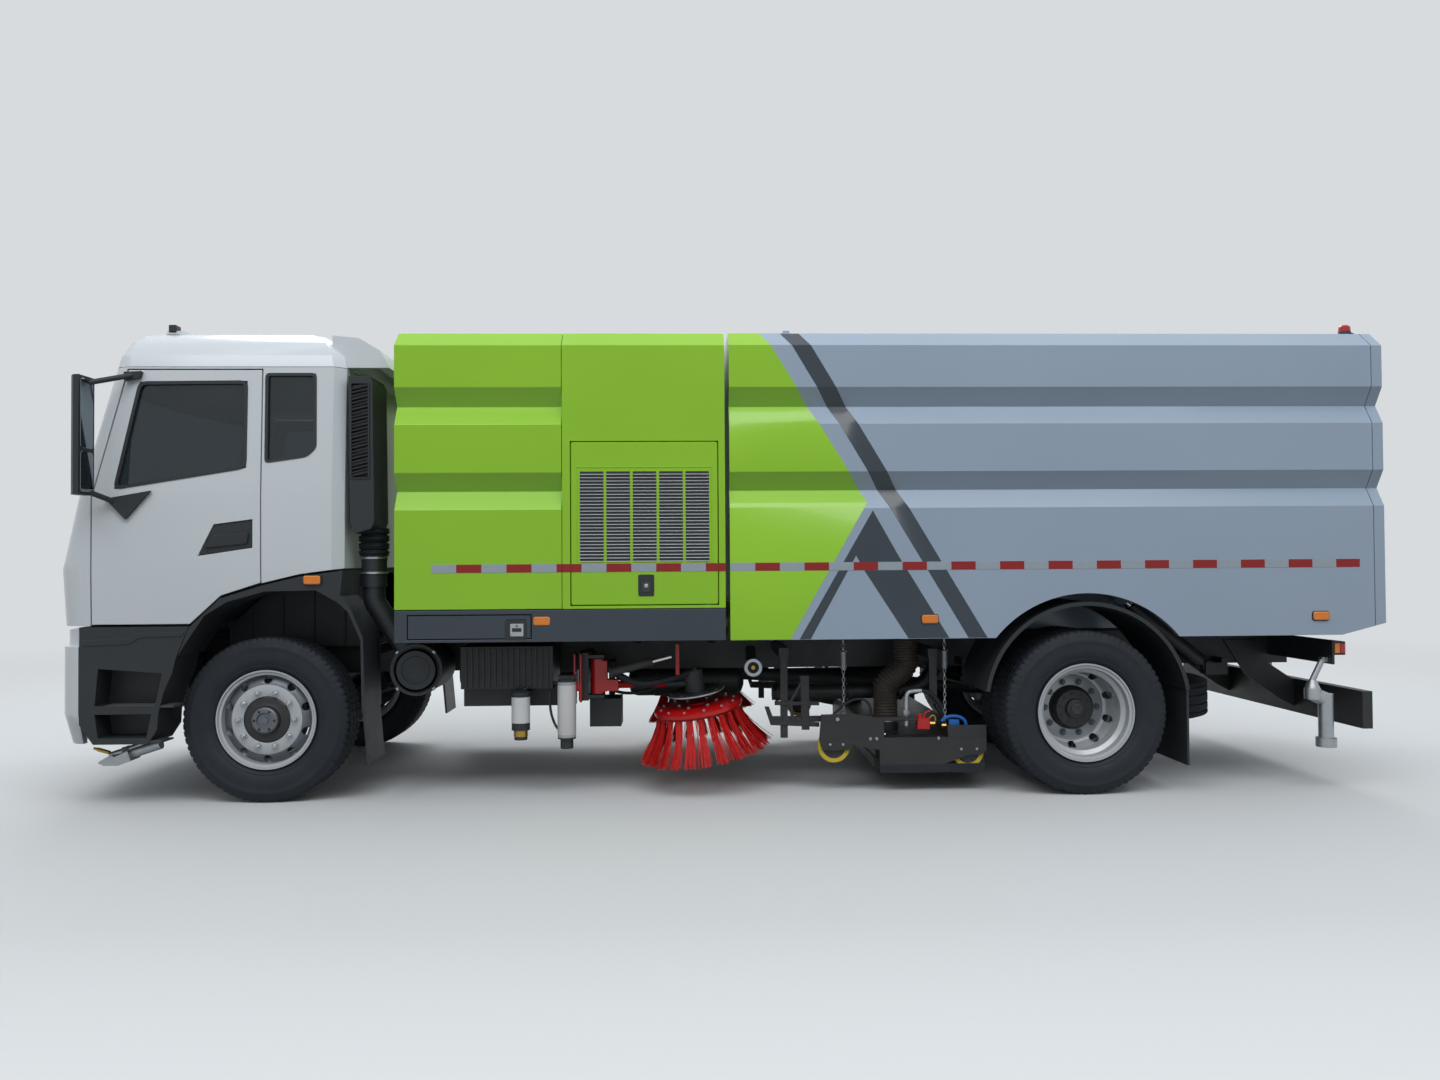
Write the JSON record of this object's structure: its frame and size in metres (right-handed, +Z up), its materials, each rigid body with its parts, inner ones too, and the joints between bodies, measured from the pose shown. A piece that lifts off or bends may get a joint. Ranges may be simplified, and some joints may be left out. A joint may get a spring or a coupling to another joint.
{
  "type": "street sweeper truck",
  "caption": "Cab-over truck with a water tank, an engine housing and a tipping dirt hopper, and with side brushes and a suction head between the axles.",
  "frame": {"origin": "on the road, in the middle of the truck's outline", "axes": "+Z up, -X forwards, -Y to the vehicle's left"},
  "size_m": [8.226, 3.01, 2.9099],
  "materials": {
    "cab_paint": "gloss",
    "green_paint": "gloss",
    "silver_paint": "gloss",
    "slate_paint": "satin",
    "chassis_paint": "satin",
    "black_plastic": "matte",
    "bumper_plastic": "gloss",
    "interior_plastic": "matte",
    "seat_cloth": "matte",
    "glass": "clear",
    "tyre_rubber": "matte",
    "rim_steel": "satin",
    "cast_engine": "matte",
    "cylinder_chrome": "polished",
    "brush_red": "matte",
    "boom_red": "gloss",
    "castor_yellow": "matte",
    "hose_rubber": "matte",
    "pipe_steel": "satin"
  },
  "bodies": {
    "chassis": {"frame_rails": "chassis_paint", "front_axle": "chassis_paint", "rear_axle": "chassis_paint", "driveline": "cast_engine", "spare_wheel": "tyre_rubber", "front_bumper": "bumper_plastic", "cab_steps": "black_plastic", "front_mudguards": "black_plastic", "rear_mudguards": "black_plastic", "air_intake": "black_plastic", "battery_box": "black_plastic", "fuel_tank": "pipe_steel", "water_tank": "green_paint", "engine_housing": "green_paint", "auxiliary_engine": "cast_engine", "side_skirts": "slate_paint", "under_run_beam": "chassis_paint", "water_pipes": "pipe_steel", "brush_brackets": "boom_red", "suction_hoses": "hose_rubber"},
    "cab": {"cab_shell": "cab_paint", "cab_roof": "cab_paint", "cab_glass": "glass", "dashboard": "interior_plastic", "cab_seats": "seat_cloth", "grille_panel": "black_plastic"},
    "hopper": {"hopper": "silver_paint"},
    "tailgate": {"tailgate": "silver_paint"},
    "ram_barrels": {"ram_barrels": "chassis_paint"},
    "ram_rods": {"ram_rods": "cylinder_chrome"},
    "locker_lid": {"locker_lid": "slate_paint"},
    "suction_head": {"suction_head": "chassis_paint"},
    "door_left": {"door_left": "cab_paint", "door_glass_left": "glass", "mirror_left": "black_plastic"},
    "knuckle_left": {"knuckle_left": "chassis_paint"},
    "front_wheel_left": {"front_tyre_left": "tyre_rubber", "front_rim_left": "rim_steel"},
    "rear_wheels_left": {"rear_tyres_left": "tyre_rubber", "rear_rims_left": "rim_steel"},
    "engine_door_left": {"engine_door_left": "green_paint"},
    "brush_carrier_left": {"brush_carrier_left": "boom_red"},
    "brush_boom_left": {"brush_boom_left": "boom_red"},
    "brush_left": {"brush_left": "brush_red"},
    "castor_front_left": {"castor_front_left": "castor_yellow"},
    "castor_rear_left": {"castor_rear_left": "castor_yellow"},
    "door_right": {"door_right": "cab_paint", "door_glass_right": "glass", "mirror_right": "black_plastic"},
    "knuckle_right": {"knuckle_right": "chassis_paint"},
    "front_wheel_right": {"front_tyre_right": "tyre_rubber", "front_rim_right": "rim_steel"},
    "rear_wheels_right": {"rear_tyres_right": "tyre_rubber", "rear_rims_right": "rim_steel"},
    "engine_door_right": {"engine_door_right": "green_paint"},
    "brush_carrier_right": {"brush_carrier_right": "boom_red"},
    "brush_boom_right": {"brush_boom_right": "boom_red"},
    "brush_right": {"brush_right": "brush_red"},
    "castor_front_right": {"castor_front_right": "castor_yellow"},
    "castor_rear_right": {"castor_rear_right": "castor_yellow"}
  },
  "joints": [
    {"name": "cab_tilt", "type": "hinge", "parent": "chassis", "child": "cab", "pos_m": [-3.95, 0, 0.935], "axis": [0, -1, 0], "range_deg": [0, 50]},
    {"name": "door_left", "type": "hinge", "parent": "cab", "child": "door_left", "pos_m": [-3.708, -1.24, 1.5], "axis": [0, 0, -1], "range_deg": [0, 70]},
    {"name": "steer_left", "type": "hinge", "parent": "chassis", "child": "knuckle_left", "pos_m": [-2.76, -0.83, 0.5], "axis": [0, 0, 1], "range_deg": [-33, 33]},
    {"name": "front_wheel_left", "type": "hinge", "parent": "knuckle_left", "child": "front_wheel_left", "pos_m": [-2.76, -0.99, 0.5], "axis": [0, 1, 0], "continuous": true},
    {"name": "rear_wheel_left", "type": "hinge", "parent": "chassis", "child": "rear_wheels_left", "pos_m": [2.24, -0.929, 0.5], "axis": [0, 1, 0], "continuous": true},
    {"name": "engine_door_left", "type": "hinge", "parent": "chassis", "child": "engine_door_left", "pos_m": [-0.459, -1.25, 2.168], "axis": [-1, 0, 0], "range_deg": [0, 85]},
    {"name": "brush_swing_left", "type": "hinge", "parent": "chassis", "child": "brush_carrier_left", "pos_m": [-0.77, -0.9, 0.725], "axis": [0, 0, -1], "range_deg": [0, 35]},
    {"name": "brush_lift_left", "type": "hinge", "parent": "brush_carrier_left", "child": "brush_boom_left", "pos_m": [-0.675, -0.9, 0.668], "axis": [0, 1, 0], "range_deg": [0, 11]},
    {"name": "door_right", "type": "hinge", "parent": "cab", "child": "door_right", "pos_m": [-3.708, 1.24, 1.5], "axis": [0, 0, 1], "range_deg": [0, 70]},
    {"name": "steer_right", "type": "hinge", "parent": "chassis", "child": "knuckle_right", "pos_m": [-2.76, 0.83, 0.5], "axis": [0, 0, 1], "range_deg": [-33, 33]},
    {"name": "front_wheel_right", "type": "hinge", "parent": "knuckle_right", "child": "front_wheel_right", "pos_m": [-2.76, 0.99, 0.5], "axis": [0, 1, 0], "continuous": true},
    {"name": "rear_wheel_right", "type": "hinge", "parent": "chassis", "child": "rear_wheels_right", "pos_m": [2.24, 0.929, 0.5], "axis": [0, 1, 0], "continuous": true},
    {"name": "engine_door_right", "type": "hinge", "parent": "chassis", "child": "engine_door_right", "pos_m": [-0.459, 1.25, 2.168], "axis": [1, 0, 0], "range_deg": [0, 85]},
    {"name": "brush_swing_right", "type": "hinge", "parent": "chassis", "child": "brush_carrier_right", "pos_m": [-0.77, 0.9, 0.725], "axis": [0, 0, 1], "range_deg": [0, 35]},
    {"name": "brush_lift_right", "type": "hinge", "parent": "brush_carrier_right", "child": "brush_boom_right", "pos_m": [-0.675, 0.9, 0.668], "axis": [0, 1, 0], "range_deg": [0, 11]},
    {"name": "brush_spin_left", "type": "hinge", "parent": "brush_boom_left", "child": "brush_left", "pos_m": [-0.144, -0.85, 0.566], "axis": [-0.154, -0.0858, 0.9843], "continuous": true},
    {"name": "brush_spin_right", "type": "hinge", "parent": "brush_boom_right", "child": "brush_right", "pos_m": [-0.144, 0.85, 0.566], "axis": [-0.154, 0.0858, 0.9843], "continuous": true},
    {"name": "hopper_tip", "type": "hinge", "parent": "chassis", "child": "hopper", "pos_m": [3.84, 0, 0.905], "axis": [0, 1, 0], "range_deg": [0, 45]},
    {"name": "tailgate", "type": "hinge", "parent": "hopper", "child": "tailgate", "pos_m": [4.035, 0, 2.866], "axis": [0, -1, 0], "range_deg": [0, 75]},
    {"name": "ram_swing", "type": "hinge", "parent": "chassis", "child": "ram_barrels", "pos_m": [3.34, 0, 0.7], "axis": [0, 1, 0], "range_deg": [0, 47.34]},
    {"name": "ram_extend", "type": "slide", "parent": "ram_barrels", "child": "ram_rods", "axis": [-0.7809, 0, 0.6247], "range_m": [0, 0.4129]},
    {"name": "locker_lid", "type": "hinge", "parent": "chassis", "child": "locker_lid", "pos_m": [-1.874, -1.25, 1.06], "axis": [0, 0, -1], "range_deg": [0, 100]},
    {"name": "head_slide", "type": "slide", "parent": "chassis", "child": "suction_head", "axis": [0, 0, -1], "range_m": [0, 0.13], "deforming": ["suction_hoses"]},
    {"name": "castor_front_left", "type": "hinge", "parent": "suction_head", "child": "castor_front_left", "pos_m": [0.706, -1.012, 0.282], "axis": [0, 1, 0], "continuous": true},
    {"name": "castor_front_right", "type": "hinge", "parent": "suction_head", "child": "castor_front_right", "pos_m": [0.706, 1.012, 0.282], "axis": [0, 1, 0], "continuous": true},
    {"name": "castor_rear_left", "type": "hinge", "parent": "suction_head", "child": "castor_rear_left", "pos_m": [1.55, -1.012, 0.242], "axis": [0, 1, 0], "continuous": true},
    {"name": "castor_rear_right", "type": "hinge", "parent": "suction_head", "child": "castor_rear_right", "pos_m": [1.55, 1.012, 0.242], "axis": [0, 1, 0], "continuous": true}
  ],
  "couplings": [
    {"joint": "steer_right", "follows": "steer_left", "ratio": 1},
    {"joint": "ram_swing", "follows": "hopper_tip", "ratio": 1.0509},
    {"joint": "ram_extend", "follows": "hopper_tip", "m_per_rad": 0.5244}
  ]
}
